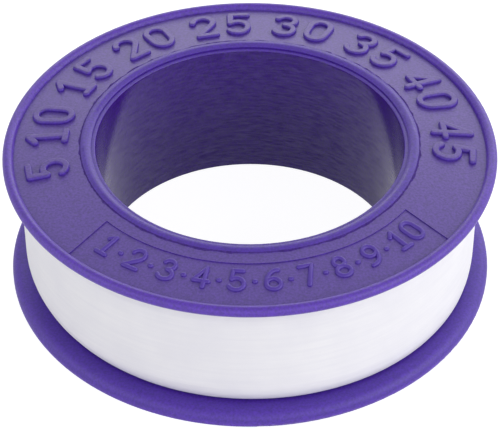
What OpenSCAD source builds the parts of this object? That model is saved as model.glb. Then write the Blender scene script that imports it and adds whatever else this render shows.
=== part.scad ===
// Roll of thread seal tape on a two-piece moulded spool, lying on its lower flange.
// The spool's axis is +Z and the lower flange rests on z = 0. All sizes are in millimetres.

/* [Flanges] */
// Outside diameter of both flanges
flange_d = 50; // [40:0.5:64]
// Thickness of the lower flange
base_t = 1.7; // [1.3:0.1:2.4]
// Rounding of the lower flange's edge on the floor
base_round = 0.55; // [0.2:0.05:0.6]
// Rounding of the lower flange's upper edge, which is much fuller
base_crown = 1; // [0.3:0.05:1.2]
// Thickness of the upper flange's rim, which is fully round
cap_t = 1.1; // [0.9:0.05:1.8]
// Climb from the upper flange's rim to the crest of the bead round the bore
cap_rise = 0.45; // [0:0.05:1]
// Width of the flat crest that the lower flange rests on
rim_land = 0.4; // [0.2:0.05:1]
// Width of the bead round the bore
bead_w = 1.15; // [0.8:0.05:2]
// Depth of each outer face below its rim
face_step = 0.5; // [0.1:0.05:0.6]
// Height of the bead, a shallow round, above the inner edge of the upper face
bead_rise = 0.22; // [0.1:0.02:0.4]
// Width of the bead's flat crest
crest_land = 0.15; // [0.1:0.05:0.4]
// Rounding of the bore's ends and of the edges under the lower flange
edge_r = 0.2; // [0.05:0.05:0.3]

/* [Face recess] */
// Depth of the arc-shaped recess in the upper face
recess_step = 0.1; // [0.05:0.05:0.2]
// Angle between the two ends of the recess
recess_span = 86; // [30:2:160]
// Direction of the middle of the recess, from +X towards +Y
recess_dir = -86.8; // [-180:0.2:180]
// Setback behind the spool's axis of the point where the lines of the two ends meet
recess_setback = 4.1; // [0:0.1:8]
// Width of the face left between the bead and the recess
recess_margin = 1.3; // [0.5:0.05:3]

/* [Hub and snap joint] */
// Width of the spigot's end that shows inside the upper bead
ledge_w = 0.45; // [0.3:0.05:0.8]
// Drop from the bead's inner edge to the spigot's end
ledge_drop = 0.15; // [0.1:0.05:0.3]
// Width of the spigot's end that lies under the lip of the upper flange
lip_lap = 0.3; // [0.1:0.05:0.5]
// Width of the shoulder on which the upper flange seats
shoulder_w = 0.5; // [0.3:0.05:1]
// Radius of the snap ridge round the spigot
ridge_r = 0.12; // [0.06:0.02:0.2]
// Clearance between the spigot and its socket
snap_gap = 0.03; // [0.02:0.01:0.06]

/* [Tape] */
// Width of the tape
tape_w = 12; // [8:0.5:25]
// Depth of the full winding from its outside to its hole, which sets how wide the hub and bore are
wind_depth = 6.45; // [3:0.05:9]
// Thickness of one layer, which is the step at the tape's free end
tape_t = 0.075; // [0.05:0.005:0.2]
// Margin of the flanges beyond the full winding
wind_margin = 1.65; // [1.2:0.05:5]
// Lean of the winding's outside to one side of the spool's axis
wind_lean = 0.1; // [0:0.05:0.5]
// Distance that the winding's two edges are drawn in
edge_draw = 0.45; // [0.1:0.05:0.8]
// Height of the band in which each edge curves in
edge_band = 2; // [1:0.1:3]
// Room between the winding and the lower flange
low_room = 0.25; // [0.15:0.05:0.8]
// Room between the winding and the upper flange
high_room = 0.6; // [0.15:0.05:0.8]
// Running clearance between the winding and the hub
hub_gap = 0.05; // [0.02:0.01:0.1]

/* [Hidden] */
$fn = 180;
eps = 0.01;
purple = "#5d46a6";
white = "#f1f1f4";

// Radii, from the flanges inwards to the bore
flange_r = flange_d / 2;
cap_edge_r = flange_r - cap_t / 2;
wind_r = flange_r - wind_margin;
core_r = wind_r - wind_depth;
hub_r = core_r - hub_gap;
spigot_r = hub_r - shoulder_w;
socket_r = spigot_r + snap_gap;
lip_r = spigot_r - lip_lap;
bead_r = lip_r + bead_w;
bore_r = lip_r - ledge_w;

// A rounded edge is no deeper than the step that it is on, or than its share of the flange
edge = min(edge_r, face_step);
base_edge = min(base_round, base_t / 2 - eps);
base_top = min(base_crown, base_t - base_edge - eps);
base_face_r = flange_r - base_edge - rim_land - edge;
cap_face_r = flange_r - cap_t;

// Heights, from the floor upwards
tape_z = base_t + low_room;
shoulder_z = tape_z + tape_w + high_room;
rim_z = shoulder_z + cap_t;
crest_z = rim_z + cap_rise;
spigot_z = crest_z - bead_rise - ledge_drop;
lip_z = spigot_z + snap_gap;
ridge_z = (shoulder_z + spigot_z) / 2;
face_low = rim_z - min(face_step, cap_t / 2);
face_high = crest_z - bead_rise;

// Height of the upper flange's sloping face at radius r
function face_z(r) =
    face_low + (face_high - face_low) * (cap_face_r - r) / (cap_face_r - bead_r);

// Radius of an arc that starts level and has fallen by this much at this distance
function bow_r(distance, fall) = (distance * distance + fall * fall) / (2 * fall);

// Waste outside a rounded corner; sx and sy point from the corner into the section
module corner_waste(at, sx, sy, r) {
    translate(at)
        difference() {
            translate([sx > 0 ? -eps : -r, sy > 0 ? -eps : -r])
                square(r + eps);
            translate([sx * r, sy * r])
                circle(r);
        }
}

// Half section of the lower flange, hub and spigot
module base_section() {
    difference() {
        union() {
            polygon([
                [bore_r, 0], [bead_r, 0], [bead_r, face_step],
                [base_face_r, face_step], [base_face_r, 0], [flange_r, 0],
                [flange_r, base_t], [hub_r, base_t], [hub_r, shoulder_z],
                [spigot_r, shoulder_z], [spigot_r, spigot_z], [bore_r, spigot_z]
            ]);
            translate([spigot_r, ridge_z])
                circle(ridge_r);
        }
        corner_waste([flange_r, 0], -1, 1, base_edge);
        corner_waste([flange_r, base_t], -1, -1, base_top);
        corner_waste([base_face_r, 0], 1, 1, edge);
        corner_waste([bead_r, 0], -1, 1, edge);
        corner_waste([bore_r, 0], 1, 1, edge);
        corner_waste([bore_r, spigot_z], 1, -1, edge);
        corner_waste([spigot_r, spigot_z], -1, -1, edge / 2);
    }
}

// Section of the upper bead, which rolls over to the face and to the bore
module bead_section() {
    roll_w = (bead_w - crest_land) / 2;
    roll_r = bow_r(roll_w, bead_rise);
    intersection() {
        translate([lip_r, lip_z])
            square([bead_w, crest_z - lip_z]);
        translate([lip_r + roll_w, crest_z - roll_r])
            union() {
                square([crest_land, roll_r]);
                circle(roll_r);
                translate([crest_land, 0])
                    circle(roll_r);
            }
    }
}

// Half section of the upper flange, with its round rim, bead, lip, socket and snap groove
module cap_section() {
    difference() {
        union() {
            polygon([
                [socket_r, shoulder_z], [cap_edge_r, shoulder_z],
                [cap_edge_r, face_z(cap_edge_r)], [bead_r, face_high],
                [lip_r, face_high], [lip_r, lip_z], [socket_r, lip_z]
            ]);
            translate([cap_edge_r, shoulder_z + cap_t / 2])
                circle(d = cap_t);
            bead_section();
        }
        translate([spigot_r, ridge_z])
            circle(ridge_r + snap_gap);
    }
}

// Section of the waste that leaves the arc-shaped recess, which runs a little into the round rim
module recess_section() {
    recess_r = bead_r + recess_margin;
    end_r = cap_face_r + recess_step;
    polygon([
        [recess_r, face_z(recess_r) - recess_step], [end_r, face_z(end_r) - recess_step],
        [end_r, rim_z], [recess_r, crest_z]
    ]);
}

// Outline of the recess from above: a wedge whose point lies behind the spool's axis
module recess_wedge() {
    reach = 4 * flange_r;
    ends = [recess_dir - recess_span / 2, recess_dir, recess_dir + recess_span / 2];
    translate(-recess_setback * [cos(recess_dir), sin(recess_dir)])
        polygon([[0, 0], for (a = ends) reach * [cos(a), sin(a)]]);
}

// Half section of the winding out to radius r, straight in the middle and drawn in at both edges
module wind_section(r) {
    draw_r = bow_r(edge_band, edge_draw);
    intersection() {
        square([r, tape_w]);
        union() {
            square([r - draw_r, tape_w]);
            translate([0, edge_band])
                square([r, tape_w - 2 * edge_band]);
            for (z = [edge_band, tape_w - edge_band])
                translate([r - draw_r, z])
                    circle(draw_r);
        }
    }
}

// Half of a round layer: the half with x above 0, or below 0 with side = -1
module half_round(r, side) {
    rotate([0, 0, -90 * side])
        rotate_extrude(angle = 180)
            wind_section(r);
}

module spool_base() {
    color(purple)
        rotate_extrude()
            base_section();
}

module snap_flange() {
    color(purple)
        difference() {
            rotate_extrude()
                cap_section();
            intersection() {
                rotate_extrude()
                    recess_section();
                translate([0, 0, shoulder_z])
                    linear_extrude(crest_z)
                        recess_wedge();
            }
        }
}

// The outer layer spirals in by one thickness per turn. Two half rounds, with centres half a
// thickness apart, make that spiral; they meet flush at -Y and leave the free end at +Y.
module tape() {
    color(white)
        translate([0, 0, tape_z])
            difference() {
                translate([wind_lean, 0, 0])
                    union() {
                        half_round(wind_r, 1);
                        translate([0, -tape_t / 2, 0])
                            half_round(wind_r - tape_t / 2, -1);
                    }
                translate([0, 0, -eps])
                    cylinder(r = core_r, h = tape_w + 2 * eps);
            }
}

spool_base();
snap_flange();
tape();
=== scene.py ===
import random
from math import atan2, cos, hypot, radians, sin, tau

import bmesh
import bpy
from mathutils import Matrix, Quaternion, Vector, noise


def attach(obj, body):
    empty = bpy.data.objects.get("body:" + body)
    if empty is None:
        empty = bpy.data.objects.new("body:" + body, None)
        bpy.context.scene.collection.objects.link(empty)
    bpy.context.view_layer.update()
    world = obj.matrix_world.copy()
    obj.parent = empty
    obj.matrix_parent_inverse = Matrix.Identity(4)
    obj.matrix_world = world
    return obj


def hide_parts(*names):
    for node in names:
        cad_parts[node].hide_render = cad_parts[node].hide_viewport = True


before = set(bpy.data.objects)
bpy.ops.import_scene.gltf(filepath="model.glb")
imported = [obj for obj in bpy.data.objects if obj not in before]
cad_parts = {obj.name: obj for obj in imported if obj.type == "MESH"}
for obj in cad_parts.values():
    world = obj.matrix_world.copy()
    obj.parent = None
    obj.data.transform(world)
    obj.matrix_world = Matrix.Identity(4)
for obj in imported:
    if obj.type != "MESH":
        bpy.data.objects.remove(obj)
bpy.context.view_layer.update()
mm = 0.001


# general helpers

def srgb(text):  # "#rrggbb" to the linear colour that sockets take
    parts = [int(text[i:i + 2], 16) / 255 for i in (1, 3, 5)]
    return [c / 12.92 if c < 0.04045 else ((c + 0.055) / 1.055) ** 2.4 for c in parts] + [1]


def addNode(tree, kind, links=None, values=None, **settings):
    made = tree.nodes.new(kind)
    for name, value in settings.items():
        setattr(made, name, value)
    for socket, value in (values or {}).items():
        made.inputs[socket].default_value = value
    for socket, source in (links or {}).items():
        tree.links.new(source, made.inputs[socket])
    return made


def setStops(ramp, stops):  # (position, grey) pairs on a colour ramp
    band = ramp.color_ramp
    while len(band.elements) < len(stops):
        band.elements.new(1)
    for stop, (at, grey) in zip(band.elements, stops):
        stop.position = at
        stop.color = (grey, grey, grey, 1)


def startMaterial(name):
    made = bpy.data.materials.new(name)
    made.use_nodes = True
    return made, made.node_tree, made.node_tree.nodes["Principled BSDF"]


def addPiece(name, shape, material, smooth=True):
    mesh = bpy.data.meshes.new(name)
    shape.to_mesh(mesh)
    shape.free()
    mesh.materials.append(material)
    for face in mesh.polygons:
        face.use_smooth = smooth
    piece = bpy.data.objects.new(name, mesh)
    bpy.context.scene.collection.objects.link(piece)
    print(name, len(mesh.polygons), "faces")
    return piece


def keepSharp(shape, degrees):  # edges that turn by more than this aren't smoothed over
    for edge in shape.edges:
        edge.smooth = edge.calc_face_angle(0) < radians(degrees)


# the spool's shape, as the solids have it, in mm
spool = {
    "flangeR": 25.0,
    "rimFootR": 23.9,     # where the sunk face meets the rim
    "beadFootR": 17.2,    # where it meets the bead round the bore
    "rimZ": 15.65,
    "faceStep": 0.5,      # the face lies this far below the rim
    "faceRise": 0.73,     # and climbs this much to the bead
    "plateDrop": 0.1,     # the arc-shaped recess in the face
    "topZ": 16.1,
    "boreR": 15.6,
    "lowFace": (0.034, 0.06),   # shares of the height between which the lower sunk face ends
    "highFace": (0.905, 0.925),  # and the upper one starts
}


def faceHeight(r):  # the upper flange's sloping face
    share = (spool["rimFootR"] - r) / (spool["rimFootR"] - spool["beadFootR"])
    return spool["rimZ"] - spool["faceStep"] + spool["faceRise"] * share


# materials

plasticLook = {
    "gloss": "#46219a",      # beads, rims and flange edges, from the polished steel of the mould
    "satin": "#523992",      # sunk faces, from the etched steel
    "streak": "#401d94",     # slightly darker flow marks
    "rim": "#5029a5",        # the upper rim: painted light, lighter as if light came through the thin flange
    "hub": "#37087f",        # the wall of the bore: painted shade, darker because no light reaches it through the plastic from behind
    "creaseShade": "#42297f",     # painted shade in the ragged crease at the bead's foot
    "scuff": "#8a7cb8",
    "ior": 1.57,
    "glossRough": 0.44,
    "satinRough": 0.44,
    "hubRough": 0.15,
    "baseRough": 0.52,       # the lower flange, rubbed dull by what it stands on
    "baseMm": 2.2,           # up to this height
    "creaseRough": 0.9,
    "roughSpread": (-0.02, 0.03),  # how far the flow marks change the roughness
    "fullShine": 0.5,        # the shader's middle value, which leaves the reflection to the IOR
    "hubShine": (0.17, 0.4),  # draw marks round the bore's wall dull it unevenly
    "drawMm": 0.2,           # spacing of those marks
    "drawStretch": 0.14,     # they run on round the wall
    "hubGrain": 0.5,         # share of the grain on that wall
    "hubSkinMm": 0.04,       # depth up to which a surface counts as that wall
    "grainMm": 0.25,         # real etching is finer; drawn coarse enough to show
    "grainDeepMm": 0.014,
    "grainRange": (0.35, 0.65),  # ends of the noise that count as fully low and fully high
    "speckle": 0.22,         # how much the grain lightens and darkens the colour
    "flowMm": 9.0,
    "flowRange": (0.25, 0.75),
    "flowShare": 0.6,        # the most that a flow mark shows
    "creaseMm": (0.1, 0.2),  # how far the ragged foot runs up the bead, and out over the sunk face
    "raggedMm": 1.1,         # size of the wanderings of its outer edge
    "raggedRange": (0.4, 0.7),
    "scuffMm": (3.0, 0.3),   # length and spacing of the faint handling marks
    "scuffTurn": (0.2, 0.1, 0.9),
    "scuffRange": (0.74, 0.9),
    "scuffShare": 0.3,
    "flatSlope": (0.75, 0.95),  # upward share of the normal from which a surface counts as flat
    "blendMm": 0.1,          # from satin to gloss at the foot of the rim and bead
}


# polystyrene, injection moulded: glossy where the mould was polished, satin where it was etched,
# with faint flow marks, a few handling marks, a ragged line of painted shade where the bead meets the face,
# painted light on the upper rim and painted shade on the bore's wall
def mouldedPolystyrene(name, look, etched):
    made, tree, shader = startMaterial(name)
    coords = addNode(tree, "ShaderNodeTexCoord")
    place = coords.outputs["Object"]
    flow = addNode(tree, "ShaderNodeTexNoise", {"Vector": place},
                   {"Scale": 1 / (look["flowMm"] * mm), "Detail": 3, "Roughness": 0.55})
    flowLow, flowHigh = look["flowRange"]
    flowShare = addNode(tree, "ShaderNodeMapRange", {"Value": flow.outputs["Fac"]},
                        {"From Min": flowLow, "From Max": flowHigh,
                         "To Min": 0, "To Max": look["flowShare"]},
                        interpolation_type="SMOOTHSTEP")
    body = addNode(tree, "ShaderNodeMix", {"Factor": flowShare.outputs["Result"]},
                   {"A": srgb(look["gloss"]), "B": srgb(look["streak"])}, data_type="RGBA")
    colour = body.outputs["Result"]
    # handling marks: a noise drawn out along one direction, of which only the peaks show
    alongScale, acrossScale = (1 / (size * mm) for size in look["scuffMm"])
    turned = addNode(tree, "ShaderNodeMapping", {"Vector": place},
                     {"Rotation": look["scuffTurn"], "Scale": (alongScale, acrossScale, alongScale)})
    marks = addNode(tree, "ShaderNodeTexNoise", {"Vector": turned.outputs["Vector"]},
                    {"Scale": 1, "Detail": 1})
    faint, plain = look["scuffRange"]
    scuff = addNode(tree, "ShaderNodeMapRange", {"Value": marks.outputs["Fac"]},
                    {"From Min": faint, "From Max": plain, "To Min": 0, "To Max": look["scuffShare"]})
    marked = scuff.outputs["Result"]
    smoother, rougher = (look["glossRough"] + change for change in look["roughSpread"])
    rough = addNode(tree, "ShaderNodeMapRange", {"Value": flow.outputs["Fac"]},
                    {"From Min": flowLow, "From Max": flowHigh, "To Min": smoother, "To Max": rougher},
                    interpolation_type="SMOOTHSTEP")
    roughness = rough.outputs["Result"]
    if etched:
        # sunk faces and flat tops on them, picked out by radius, height and slope
        across = addNode(tree, "ShaderNodeVectorMath", {0: place}, {1: (1, 1, 0)}, operation="MULTIPLY")
        away = addNode(tree, "ShaderNodeVectorMath", {0: across.outputs["Vector"]}, operation="LENGTH")
        upward = addNode(tree, "ShaderNodeSeparateXYZ", {"Vector": place})
        radial = addNode(tree, "ShaderNodeMapRange", {"Value": away.outputs["Value"]},
                         {"From Min": 0, "From Max": spool["flangeR"] * mm})
        rise = addNode(tree, "ShaderNodeMapRange", {"Value": upward.outputs["Z"]},
                       {"From Min": 0, "From Max": spool["topZ"] * mm})
        ring = addNode(tree, "ShaderNodeValToRGB", {"Fac": radial.outputs["Result"]})
        inner, outer = spool["beadFootR"] / spool["flangeR"], spool["rimFootR"] / spool["flangeR"]
        blend = look["blendMm"] / spool["flangeR"]
        setStops(ring, [(inner, 0), (inner + blend, 1), (outer - blend, 1), (outer, 0)])
        level = addNode(tree, "ShaderNodeValToRGB", {"Fac": rise.outputs["Result"]})
        setStops(level, list(zip(spool["lowFace"] + spool["highFace"], (1, 0, 0, 1))))
        sunk = addNode(tree, "ShaderNodeMath", {0: ring.outputs["Color"], 1: level.outputs["Color"]},
                       operation="MULTIPLY")
        facing = addNode(tree, "ShaderNodeSeparateXYZ", {"Vector": coords.outputs["Normal"]})
        steep = addNode(tree, "ShaderNodeMath", {0: facing.outputs["Z"]}, operation="ABSOLUTE")
        tilted, flatEnough = look["flatSlope"]
        flat = addNode(tree, "ShaderNodeMapRange", {"Value": steep.outputs["Value"]},
                       {"From Min": tilted, "From Max": flatEnough}, interpolation_type="SMOOTHSTEP")
        mask = addNode(tree, "ShaderNodeMath", {0: sunk.outputs["Value"], 1: flat.outputs["Result"]},
                       operation="MULTIPLY").outputs["Value"]
        hub = addNode(tree, "ShaderNodeMath", {0: away.outputs["Value"]},
                      {1: (spool["boreR"] + look["hubSkinMm"]) * mm}, operation="LESS_THAN")
        marked = addNode(tree, "ShaderNodeMath", {0: marked, 1: hub.outputs["Value"]}, operation="SUBTRACT",
                         use_clamp=True).outputs["Value"]
        # the upper rim gets painted light: a lighter colour standing in for light that comes through the
        # thin flange
        beyond = addNode(tree, "ShaderNodeMath", {0: away.outputs["Value"]},
                         {1: spool["rimFootR"] * mm}, operation="GREATER_THAN")
        rimLightMask = addNode(tree, "ShaderNodeMath", {0: beyond.outputs["Value"], 1: level.outputs["Color"]},
                       operation="MULTIPLY")
        paintedRimLightColour = addNode(tree, "ShaderNodeMix", {"Factor": rimLightMask.outputs["Value"], "A": colour},
                        {"B": srgb(look["rim"])}, data_type="RGBA")
        # the bore's wall gets painted shade: a darker colour for the shadowed inside of the bore
        paintedBoreShade = addNode(tree, "ShaderNodeMix",
                       {"Factor": hub.outputs["Value"], "A": paintedRimLightColour.outputs["Result"]},
                       {"B": srgb(look["hub"])}, data_type="RGBA")
        mixed = addNode(tree, "ShaderNodeMix", {"Factor": mask, "A": paintedBoreShade.outputs["Result"]},
                        {"B": srgb(look["satin"])}, data_type="RGBA")
        # the foot of the bead: a thin ring of painted shade, as in a crease, whose outer edge wanders
        wander = addNode(tree, "ShaderNodeTexNoise", {"Vector": place},
                         {"Scale": 1 / (look["raggedMm"] * mm), "Detail": 3})
        up, out = look["creaseMm"]
        raggedLow, raggedHigh = look["raggedRange"]
        ragged = addNode(tree, "ShaderNodeMapRange", {"Value": wander.outputs["Fac"]},
                         {"From Min": raggedLow, "From Max": raggedHigh,
                          "To Min": spool["beadFootR"] * mm, "To Max": (spool["beadFootR"] + out) * mm})
        within = addNode(tree, "ShaderNodeMath", {0: away.outputs["Value"], 1: ragged.outputs["Result"]},
                         operation="LESS_THAN")
        past = addNode(tree, "ShaderNodeMath", {0: away.outputs["Value"]},
                       {1: (spool["beadFootR"] - up) * mm}, operation="GREATER_THAN")
        line = addNode(tree, "ShaderNodeMath", {0: within.outputs["Value"], 1: past.outputs["Value"]},
                       operation="MULTIPLY")
        creased = addNode(tree, "ShaderNodeMath", {0: line.outputs["Value"], 1: level.outputs["Color"]},
                          operation="MULTIPLY")
        paintedCreaseShade = addNode(tree, "ShaderNodeMix",
                       {"Factor": creased.outputs["Value"], "A": mixed.outputs["Result"]},
                       {"B": srgb(look["creaseShade"])}, data_type="RGBA")
        # the etched grain lightens and darkens the colour
        grain = addNode(tree, "ShaderNodeTexNoise", {"Vector": place},
                        {"Scale": 1 / (look["grainMm"] * mm), "Detail": 2, "Roughness": 0.6})
        grainLow, grainHigh = look["grainRange"]
        speckle = addNode(tree, "ShaderNodeMapRange", {"Value": grain.outputs["Fac"]},
                          {"From Min": grainLow, "From Max": grainHigh,
                           "To Min": 1 - look["speckle"], "To Max": 1 + look["speckle"]})
        colour = addNode(tree, "ShaderNodeVectorMath",
                         {0: paintedCreaseShade.outputs["Result"], "Scale": speckle.outputs["Result"]},
                         operation="SCALE").outputs["Vector"]
        # roughness, zone by zone
        below = addNode(tree, "ShaderNodeMath", {0: upward.outputs["Z"]}, {1: look["baseMm"] * mm},
                        operation="LESS_THAN")
        rubbed = addNode(tree, "ShaderNodeMix", {"Factor": below.outputs["Value"], "A": roughness},
                         {"B": look["baseRough"]}, data_type="FLOAT")
        shiny = addNode(tree, "ShaderNodeMix",
                        {"Factor": hub.outputs["Value"], "A": rubbed.outputs["Result"]},
                        {"B": look["hubRough"]}, data_type="FLOAT")
        dull = addNode(tree, "ShaderNodeMix", {"Factor": mask, "A": shiny.outputs["Result"]},
                       {"B": look["satinRough"]}, data_type="FLOAT")
        dry = addNode(tree, "ShaderNodeMix",
                      {"Factor": creased.outputs["Value"], "A": dull.outputs["Result"]},
                      {"B": look["creaseRough"]}, data_type="FLOAT")
        roughness = dry.outputs["Result"]
        # less shine on the bore's wall and in the ragged foot
        quiet = addNode(tree, "ShaderNodeMath", {0: hub.outputs["Value"], 1: creased.outputs["Value"]},
                        operation="MAXIMUM")
        girth = addNode(tree, "ShaderNodeMapping", {"Vector": place},
                        {"Scale": (look["drawStretch"], look["drawStretch"], 1)})
        drawn = addNode(tree, "ShaderNodeTexNoise", {"Vector": girth.outputs["Vector"]},
                        {"Scale": 1 / (look["drawMm"] * mm), "Detail": 3, "Roughness": 0.65})
        dimmest, brightest = look["hubShine"]
        uneven = addNode(tree, "ShaderNodeMapRange", {"Value": drawn.outputs["Fac"]},
                         {"From Min": grainLow, "From Max": grainHigh,
                          "To Min": dimmest, "To Max": brightest})
        shine = addNode(tree, "ShaderNodeMix",
                        {"Factor": quiet.outputs["Value"], "B": uneven.outputs["Result"]},
                        {"A": look["fullShine"]}, data_type="FLOAT")
        tree.links.new(shine.outputs["Result"], shader.inputs["Specular IOR Level"])
        grained = addNode(tree, "ShaderNodeMath", {0: hub.outputs["Value"], 2: mask}, {1: look["hubGrain"]},
                          operation="MULTIPLY_ADD")
        bump = addNode(tree, "ShaderNodeBump",
                       {"Height": grain.outputs["Fac"], "Strength": grained.outputs["Value"]},
                       {"Distance": look["grainDeepMm"] * mm})
        tree.links.new(bump.outputs["Normal"], shader.inputs["Normal"])
    worn = addNode(tree, "ShaderNodeMix", {"Factor": marked, "A": colour},
                   {"B": srgb(look["scuff"])}, data_type="RGBA")
    tree.links.new(worn.outputs["Result"], shader.inputs["Base Color"])
    tree.links.new(roughness, shader.inputs["Roughness"])
    shader.inputs["IOR"].default_value = look["ior"]
    return made


tapeLook = {
    "white": "#f1f0f4",
    "shade": "#ebeaf0",
    "ior": 1.36,
    "rough": 0.55,
    "streakMm": 0.35,        # calender lines along the tape
    "streakStretch": 0.04,   # they run on round the winding
    "streakDeepMm": 0.003,
    "streakStrength": 0.5,
    "cloudMm": 4.0,          # faint clouds in the white
    "toneRange": (0.12, 0.42),
    "glowMm": 1.5,           # how far light spreads inside the layers
    "windingGlow": 0.35,     # share of the light that spreads in the whole winding
    "layerGlow": 0.0,        # and in a single layer, which is too thin for it
}


# unsintered fluoropolymer film, calendered: soft matt white with faint lines along its length
def calenderedFilm(name, look, spread):
    made, tree, shader = startMaterial(name)
    place = addNode(tree, "ShaderNodeTexCoord").outputs["Object"]
    along = addNode(tree, "ShaderNodeMapping", {"Vector": place},
                    {"Scale": (look["streakStretch"], look["streakStretch"], 1)})
    lines = addNode(tree, "ShaderNodeTexNoise", {"Vector": along.outputs["Vector"]},
                    {"Scale": 1 / (look["streakMm"] * mm), "Detail": 3, "Roughness": 0.6})
    clouds = addNode(tree, "ShaderNodeTexNoise", {"Vector": place},
                     {"Scale": 1 / (look["cloudMm"] * mm), "Detail": 2})
    share = addNode(tree, "ShaderNodeMath", {0: lines.outputs["Fac"], 1: clouds.outputs["Fac"]},
                    operation="MULTIPLY")
    darkest, whitest = look["toneRange"]
    tone = addNode(tree, "ShaderNodeMapRange", {"Value": share.outputs["Value"]},
                   {"From Min": darkest, "From Max": whitest})
    mixed = addNode(tree, "ShaderNodeMix", {"Factor": tone.outputs["Result"]},
                    {"A": srgb(look["shade"]), "B": srgb(look["white"])}, data_type="RGBA")
    bump = addNode(tree, "ShaderNodeBump", {"Height": lines.outputs["Fac"]},
                   {"Distance": look["streakDeepMm"] * mm, "Strength": look["streakStrength"]})
    tree.links.new(mixed.outputs["Result"], shader.inputs["Base Color"])
    tree.links.new(bump.outputs["Normal"], shader.inputs["Normal"])
    shader.inputs["Roughness"].default_value = look["rough"]
    shader.inputs["IOR"].default_value = look["ior"]
    shader.inputs["Subsurface Weight"].default_value = spread
    shader.inputs["Subsurface Radius"].default_value = (1, 1, 1)
    shader.inputs["Subsurface Scale"].default_value = look["glowMm"] * mm
    return made


etchedPlastic = mouldedPolystyrene("purple polystyrene, moulded", plasticLook, True)
polishedPlastic = mouldedPolystyrene("purple polystyrene, polished", plasticLook, False)
tapeFilm = calenderedFilm("white film, calendered", tapeLook, tapeLook["windingGlow"])
singleFilm = calenderedFilm("white film, one layer", tapeLook, tapeLook["layerGlow"])
for nodeName in ("spool_base", "snap_flange"):
    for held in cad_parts[nodeName].material_slots:
        held.material = etchedPlastic
print("materials made")


# the wound tape

winding = {
    "coreR": 16.9,
    "outR": 23.38,
    "low": 1.95,
    "wide": 12.0,
    "edgeDraw": 0.46,    # both edges of the tape draw in by this much
    "edgeBand": 2.1,     # over this height
    "midLean": -0.06,    # the middle of the winding sits a little to -X of the spool's axis
    "edgeLean": 0.23,    # and its edges to +X
    "thick": 0.075,      # one layer, which is the step at the free end
    "edgeR": 0.09,
    "layers": 40,        # ridges drawn on the side faces; one stands for two layers
    "ragged": 0.05,      # how unevenly the layers' edges line up
    "shyHigh": 0.5,      # the outermost layer's lower edge stops this far up
    "rows": 40,
    "steps": 240,
    "ripple": 0.012,     # height of the swells in the outer layer
    "rippleMm": 5.0,     # and their size
    "liftTurn": 14.0,    # degrees of the outer layer that stand off at the free end
    "sharpTurn": 60,     # edges that turn by more degrees stay sharp
    "seed": 7,
}


def drawnShare(z, size):  # 0 in the middle of the tape's width, 1 at its two edges
    edge = min(z - size["low"], size["low"] + size["wide"] - z)
    return min(1, max(0, 1 - edge / size["edgeBand"])) ** 2


def leanAt(z, size):
    return size["midLean"] + (size["edgeLean"] - size["midLean"]) * drawnShare(z, size)


def swellAt(point, size):
    return size["ripple"] * noise.noise(point / (size["rippleMm"] * mm))


def spiralPlace(point, turn, size):
    # a point of the plain winding, taken inwards along the spiral and over by the lean
    r, z = hypot(point.x, point.y) / mm, point.z / mm
    share = max(0, min(1, (r - size["coreR"]) / (size["outR"] - size["edgeDraw"] - size["coreR"])))
    r2 = r - size["thick"] * turn * share + swellAt(point, size) * share
    return Vector((point.x / r * r2 + leanAt(z, size) * mm * share, point.y / r * r2, point.z))


def makeWinding(size):
    draw = random.Random(size["seed"])
    shape = bmesh.new()
    low, high = size["low"], size["low"] + size["wide"]
    startAngle = radians(90 - size["liftTurn"])
    edgeOut = size["outR"] - size["edgeDraw"]
    corners = [(size["coreR"], low), (edgeOut, low), (edgeOut, high), (size["coreR"], high)]
    ring = [shape.verts.new((r * mm, 0, z * mm)) for r, z in corners]
    for i in range(4):
        shape.edges.new((ring[i], ring[(i + 1) % 4]))
    bmesh.ops.bevel(shape, geom=ring[1:3], offset=size["edgeR"] * mm, offset_type="OFFSET",
                    affect="VERTICES", segments=3, profile=0.5, material=-1)
    # layers on the two flat sides, rows up the outside; the bevels' edges are all shorter than 1 mm
    flats = [e for e in shape.edges if abs(e.verts[0].co.x - e.verts[1].co.x) > 1 * mm]
    bmesh.ops.subdivide_edges(shape, edges=flats, cuts=size["layers"])
    middleR = (size["coreR"] + edgeOut) / 2 * mm
    outside = [e for e in shape.edges if abs(e.verts[0].co.z - e.verts[1].co.z) > 1 * mm
               and e.verts[0].co.x > middleR]
    bmesh.ops.subdivide_edges(shape, edges=outside, cuts=size["rows"])
    slack = 0.01  # mm, for rounding
    for v in shape.verts:
        r, z = v.co.x / mm, v.co.z / mm
        if r > edgeOut - size["edgeR"] - slack:
            r += size["edgeDraw"] * (1 - drawnShare(z, size))
            if z - low < size["shyHigh"]:
                r -= size["thick"] / 2
            v.co.x = r * mm
        elif r > size["coreR"] + slack:
            inward = 1 if z < (low + high) / 2 else -1
            v.co.z += inward * draw.uniform(0, size["ragged"]) * mm
    bmesh.ops.rotate(shape, verts=shape.verts[:], cent=(0, 0, 0),
                     matrix=Matrix.Rotation(startAngle, 3, "Z"))
    first = shape.edges[:]
    # the two ends of the turn aren't merged, because they are one layer apart
    spun = bmesh.ops.spin(shape, geom=shape.verts[:] + first, cent=(0, 0, 0), axis=(0, 0, -1), angle=tau,
                          steps=size["steps"], use_merge=False)
    last = [e for e in spun["geom_last"] if isinstance(e, bmesh.types.BMEdge)]
    lastVerts = {v for e in last for v in e.verts}
    for v in shape.verts:
        turn = ((startAngle - atan2(v.co.y, v.co.x)) / tau) % 1
        turn = 0 if turn > 1 - 1e-5 else turn
        v.co = spiralPlace(v.co, 1 if v in lastVerts else turn, size)
    bmesh.ops.bridge_loops(shape, edges=first + last)
    bmesh.ops.remove_doubles(shape, verts=shape.verts[:], dist=1e-6)
    bmesh.ops.recalc_face_normals(shape, faces=shape.faces[:])
    keepSharp(shape, size["sharpTurn"])
    return addPiece("tapeWinding", shape, tapeFilm)


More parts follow.
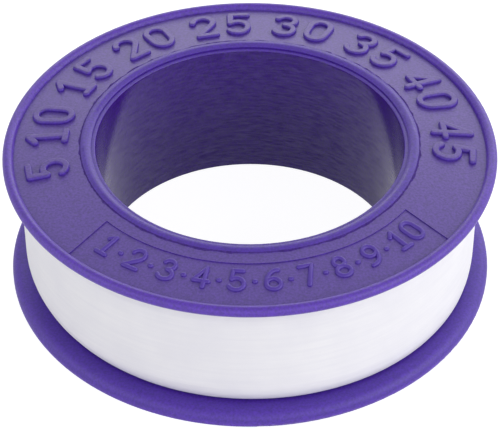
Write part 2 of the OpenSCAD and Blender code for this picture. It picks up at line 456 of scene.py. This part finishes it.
tapeEnd = {
    "lift": 0.3,         # how far the cut end stands off
    "flush": 0.002,      # above the winding, so that the two surfaces don't meet
    "tuck": 1.0,         # degrees that it runs on under no lift
    "skew": 0.9,         # the cut runs across at a slant
    "fray": 0.12,        # and its edge wanders by this much
    "frayTimes": 9,      # how often the cut's edge wanders across the width
    "highShy": 0.05,     # its upper edge stops this far below the winding's
    "rest": 0.1,         # share of the length that lies flat
    "curl": 2.2,         # how late the rest of it springs away
    "cells": (28, 32),   # along and across
}


def makeTapeEnd(size, end):
    # the last stretch of the outer layer, a thin strip that starts flush and springs away to its cut
    shape = bmesh.new()
    lengthwise, crosswise = end["cells"]
    bmesh.ops.create_grid(shape, x_segments=lengthwise, y_segments=crosswise, size=0.5)
    span = size["liftTurn"] + end["tuck"]
    for v in shape.verts:
        along, across = v.co.x + 0.5, v.co.y + 0.5
        frayed = end["fray"] * noise.noise((across * end["frayTimes"], 0, 0))
        slant = (end["skew"] * (across - 0.5) + frayed) * along ** 3
        a = radians(90 - size["liftTurn"] - end["tuck"] + span * along) + slant / size["outR"]
        z = size["low"] + size["shyHigh"] + (size["wide"] - size["shyHigh"] - end["highShy"]) * across
        r = size["outR"] - size["edgeDraw"] * drawnShare(z, size)
        r += end["flush"] + swellAt(Vector((r * cos(a), r * sin(a), z)) * mm, size)
        r += end["lift"] * max(0, along - end["rest"]) ** end["curl"]
        v.co = ((r * cos(a) + leanAt(z, size)) * mm, r * sin(a) * mm, z * mm)
    bmesh.ops.recalc_face_normals(shape, faces=shape.faces[:])
    bmesh.ops.solidify(shape, geom=shape.faces[:], thickness=size["thick"] * mm)
    bmesh.ops.recalc_face_normals(shape, faces=shape.faces[:])
    keepSharp(shape, size["sharpTurn"])
    return addPiece("tapeEnd", shape, singleFilm)


windingPiece = makeWinding(winding)
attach(windingPiece, "winding")
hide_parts("tape")
endPiece = makeTapeEnd(winding, tapeEnd)
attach(endPiece, "winding")
print("tape wound")


# raised numerals on the upper face

def bow(x, y, rx, ry, start, end):  # points on an arc, one about every 15 degrees
    steps = max(2, round(abs(end - start) / 15))
    turns = [radians(start + (end - start) * i / steps) for i in range(steps + 1)]
    return [(x + rx * cos(t), y + ry * sin(t)) for t in turns]


# centre lines in a box one high; strokes meet at their round ends
digitWide = 0.56
dotStroke = [(-0.02, 0.45), (0.02, 0.45)]
sixStem = bow(0.5, 0.28, 0.5, 0.72, 85, 180)
sixBowl = bow(0.28, 0.28, 0.28, 0.28, 180, 540)
digitStrokes = {
    "0": [bow(0.28, 0.7, 0.28, 0.3, 0, 180) + bow(0.28, 0.3, 0.28, 0.3, 180, 360) + [(0.56, 0.7)]],
    "1": [[(0.08, 0.8), (0.3, 1)], [(0.3, 1), (0.3, 0)], [(0.08, 0), (0.52, 0)]],
    "2": [bow(0.28, 0.72, 0.28, 0.28, 170, -35) + [(0, 0)], [(0, 0), (0.56, 0)]],
    "3": [bow(0.27, 0.76, 0.25, 0.24, 155, -90), bow(0.27, 0.26, 0.29, 0.26, 90, -155)],
    "4": [[(0.42, 0), (0.42, 1)], [(0.42, 1), (0, 0.3)], [(0, 0.3), (0.6, 0.3)]],
    "5": [[(0.52, 1), (0.1, 1)], [(0.1, 1), (0.06, 0.54)], bow(0.26, 0.31, 0.3, 0.31, 132, -150)],
    "6": [sixStem, sixBowl],
    "7": [[(0, 1), (0.56, 1)], [(0.56, 1), (0.2, 0)]],
    "8": [bow(0.28, 0.765, 0.23, 0.235, -90, 270), bow(0.28, 0.265, 0.28, 0.265, 90, 450)],
    "9": [[(digitWide - x, 1 - y) for x, y in stroke] for stroke in (sixStem, sixBowl)],
}

bandNumerals = {
    "numbers": [str(5 * n) for n in range(1, 10)],
    "startAngle": 197,   # degrees from +X, at the left; the numbers run clockwise with their tops outwards
    "endAngle": -10,
    "footR": 18.75,
    "tall": 3.77,
    "stroke": 0.76,
    "relief": 0.34,
    "steep": 1.5,        # times as steep as a half-round stroke, which leaves a flat top
    "digitStep": 0.98,   # advance from digit to digit, in digit heights
    "drop": 0.0,
    "dots": False,
}
plateNumerals = {
    "numbers": [str(n) for n in range(1, 11)],
    "startAngle": -134,  # along the front, with their tops towards the bore
    "endAngle": -38,
    "footR": 21.75,
    "tall": 2.35,
    "stroke": 0.5,
    "relief": 0.24,
    "steep": 1.0,
    "digitStep": 0.84,
    "drop": spool["plateDrop"],
    "dots": True,        # one between each number and the next
}
numeralForm = {
    "sides": 10,         # steps in the round of a stroke
    "weld": 0.004,       # points closer than this are one
    "crowned": 0.04,     # share of the relief by which a flat top stays crowned
    "pressed": 0.2,      # the lower half is pressed to this share, just under the surface
}


def addStroke(curve, points, shift, tall, half):
    path = [Vector((x * tall + shift, y * tall, 0)) for x, y in points]
    spline = curve.splines.new("POLY")
    if (path[0] - path[-1]).length < 0.01 * tall:
        radii = [1] * (len(path) - 1)
        path = path[:-1]
        spline.use_cyclic_u = True
    else:
        # half-round ends: rings that close in past the ends of the line
        caps = [(half * sin(radians(a)), cos(radians(a))) for a in (90, 68, 45, 22)]
        before, after = (path[0] - path[1]).normalized(), (path[-1] - path[-2]).normalized()
        head = [path[0] + before * out for out, _ in caps]
        tail = [path[-1] + after * out for out, _ in reversed(caps)]
        radii = [r for _, r in caps] + [1] * len(path) + [r for _, r in reversed(caps)]
        path = head + path + tail
    spline.points.add(len(path) - 1)
    for spot, at, radius in zip(spline.points, path, radii):
        spot.co = (*at, 1)
        spot.radius = radius


def makeNumerals(name, size, form, material):
    outward = 1 if size["startAngle"] > size["endAngle"] else -1
    midR = size["footR"] + outward * size["tall"] / 2
    half = size["stroke"] / 2
    # flat layout: each number centred on its share of the arc's length
    step = size["digitStep"] * size["tall"]
    lengths = [step * len(n) for n in size["numbers"]]
    room = abs(radians(size["startAngle"] - size["endAngle"])) * midR
    gap = (room - sum(lengths)) / (len(lengths) - 1)
    curve = bpy.data.curves.new(name, "CURVE")
    curve.dimensions = "3D"
    curve.twist_mode = "Z_UP"
    curve.bevel_depth = half
    curve.bevel_resolution = form["sides"]
    at = 0
    for number, length in zip(size["numbers"], lengths):
        for i, digit in enumerate(number):
            for stroke in digitStrokes[digit]:
                addStroke(curve, stroke, at + step * (i + 0.5) - digitWide / 2 * size["tall"],
                          size["tall"], half)
        if size["dots"] and number != size["numbers"][-1]:
            addStroke(curve, dotStroke, at + length + gap / 2, size["tall"], half)
        at += length + gap
    holder = bpy.data.objects.new(name, curve)
    bpy.context.scene.collection.objects.link(holder)
    mesh = bpy.data.meshes.new_from_object(holder.evaluated_get(bpy.context.evaluated_depsgraph_get()))
    bpy.data.objects.remove(holder)
    bpy.data.curves.remove(curve)
    shape = bmesh.new()
    shape.from_mesh(mesh)
    bpy.data.meshes.remove(mesh)
    bmesh.ops.remove_doubles(shape, verts=shape.verts[:], dist=form["weld"])
    bmesh.ops.recalc_face_normals(shape, faces=shape.faces[:])
    # onto the sloping face
    for v in shape.verts:
        a = radians(size["startAngle"]) - outward * v.co.x / midR
        r = size["footR"] + outward * v.co.y
        rise = v.co.z / half
        crown = (1 - form["crowned"]) * min(1, size["steep"] * rise) + form["crowned"] * rise
        lift = size["relief"] * crown if rise > 0 else form["pressed"] * v.co.z
        v.co = (r * cos(a) * mm, r * sin(a) * mm, (faceHeight(r) - size["drop"] + lift) * mm)
    bmesh.ops.recalc_face_normals(shape, faces=shape.faces[:])
    piece = addPiece(name, shape, material)
    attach(piece, "spool")


makeNumerals("bandNumerals", bandNumerals, numeralForm, etchedPlastic)
makeNumerals("plateNumerals", plateNumerals, numeralForm, polishedPlastic)
print("numerals raised")


# floor, light and camera

studio = {
    "floorR": 3.0,
    "floorSides": 96,
    "floorWhite": "#f4f4f6",
    "skyLight": 0.34,
    "seenGlow": 0.91,      # share of the floor's white that needs no light, so that only its shadow shows
    "seenWhite": "#97979a",
    "mirroredGlow": 0.86,  # share of that glow in reflections, where the rest is the paper as it is lit
    "aimZ": 8.0,           # in mm, the middle of the roll, which the softboxes face
}

floorShape = bmesh.new()
bmesh.ops.create_circle(floorShape, cap_ends=True, segments=studio["floorSides"], radius=studio["floorR"])
# rolled matt paper: it lights the roll from below, and shows as plain white with a soft shadow
floorPaint, tree, oldShader = startMaterial("white paper sweep")
tree.nodes.remove(oldShader)
rays = addNode(tree, "ShaderNodeLightPath")
mirrored = addNode(tree, "ShaderNodeMath", {0: rays.outputs["Is Glossy Ray"]}, {1: studio["mirroredGlow"]},
                   operation="MULTIPLY")
seen = addNode(tree, "ShaderNodeMath", {0: rays.outputs["Is Camera Ray"], 1: mirrored.outputs["Value"]},
               operation="MAXIMUM")
seenAll = addNode(tree, "ShaderNodeMath",
                  {0: seen.outputs["Value"], 1: rays.outputs["Is Transmission Ray"]}, operation="MAXIMUM")
paper = addNode(tree, "ShaderNodeBsdfDiffuse", None, {"Color": srgb(studio["floorWhite"])})
shadeCatch = addNode(tree, "ShaderNodeBsdfDiffuse", None, {"Color": srgb(studio["seenWhite"])})
glow = addNode(tree, "ShaderNodeEmission", None, {"Color": (1, 1, 1, 1), "Strength": studio["seenGlow"]})
lit = addNode(tree, "ShaderNodeAddShader", {0: shadeCatch.outputs["BSDF"], 1: glow.outputs["Emission"]})
both = addNode(tree, "ShaderNodeMixShader",
               {0: seenAll.outputs["Value"], 1: paper.outputs["BSDF"], 2: lit.outputs["Shader"]})
tree.links.new(both.outputs["Shader"], tree.nodes["Material Output"].inputs["Surface"])
floor = addPiece("studioFloor", floorShape, floorPaint, False)

world = bpy.data.worlds.new("studio")
bpy.context.scene.world = world
world.use_nodes = True
tree = world.node_tree
rays = addNode(tree, "ShaderNodeLightPath")
seen = addNode(tree, "ShaderNodeMath", {0: rays.outputs["Is Camera Ray"], 1: rays.outputs["Is Glossy Ray"]},
               operation="MAXIMUM")
seenAll = addNode(tree, "ShaderNodeMath",
                  {0: seen.outputs["Value"], 1: rays.outputs["Is Transmission Ray"]}, operation="MAXIMUM")
strength = addNode(tree, "ShaderNodeMapRange", {"Value": seenAll.outputs["Value"]},
                   {"To Min": studio["skyLight"], "To Max": 1})
backdrop = tree.nodes["Background"]
backdrop.inputs["Color"].default_value = (1, 1, 1, 1)
tree.links.new(strength.outputs["Result"], backdrop.inputs["Strength"])

# azimuths from the front, to the right; metres, watts
softboxes = {
    "highSoftbox": {"azimuth": 25, "elevation": 50, "away": 1.0, "wide": 1.3, "tall": 1.3, "watts": 0.55},
    "keySoftbox": {"azimuth": 25, "elevation": 30, "away": 1.0, "wide": 1.4, "tall": 0.7, "watts": 1.6},
    "frontSoftbox": {"azimuth": 5, "elevation": 12, "away": 0.8, "wide": 1.4, "tall": 0.3, "watts": 1.1},
    "rightSoftbox": {"azimuth": 78, "elevation": 25, "away": 0.8, "wide": 1.0, "tall": 0.6, "watts": 3.3},
    "leftSoftbox": {"azimuth": -68, "elevation": 25, "away": 0.8, "wide": 1.0, "tall": 0.6, "watts": 1.9},
    "backSoftbox": {"azimuth": 165, "elevation": 23, "away": 0.7, "wide": 0.9, "tall": 0.32, "watts": 1.85},
}
aim = Vector((0, 0, studio["aimZ"] * mm))
for name, box in softboxes.items():
    lamp = bpy.data.lights.new(name, "AREA")
    lamp.shape = "RECTANGLE"
    lamp.size, lamp.size_y = box["wide"], box["tall"]
    lamp.energy = box["watts"]
    holder = bpy.data.objects.new(name, lamp)
    bpy.context.scene.collection.objects.link(holder)
    a, e = radians(box["azimuth"]), radians(box["elevation"])
    back = Vector((sin(a) * cos(e), -cos(a) * cos(e), sin(e)))
    holder.location = aim + back * box["away"]
    holder.rotation_mode = "QUATERNION"
    holder.rotation_quaternion = back.to_track_quat("Z", "Y")

camera = {
    "lens": 151.0,         # measured from the outlines' perspective
    "sensor": 36,
    "away": 218.426,       # in mm, from the point it looks at on the spool's axis
    "elevation": 40.4716,
    "aimZ": 6.0965,
    "roll": -0.00265,
    "clip": (0.01, 20),    # in metres
}
lens = bpy.data.cameras.new("camera")
lens.lens = camera["lens"]
lens.sensor_width = camera["sensor"]
lens.clip_start, lens.clip_end = camera["clip"]
eye = bpy.data.objects.new("camera", lens)
bpy.context.scene.collection.objects.link(eye)
e = radians(camera["elevation"])
back = Vector((0, -cos(e), sin(e)))
eye.location = Vector((0, 0, camera["aimZ"] * mm)) + back * camera["away"] * mm
eye.rotation_mode = "QUATERNION"
eye.rotation_quaternion = (-back).to_track_quat("-Z", "Y") @ Quaternion((0, 0, 1), camera["roll"])
bpy.context.scene.camera = eye
bpy.context.scene.view_settings.view_transform = "Standard"
print("studio set")
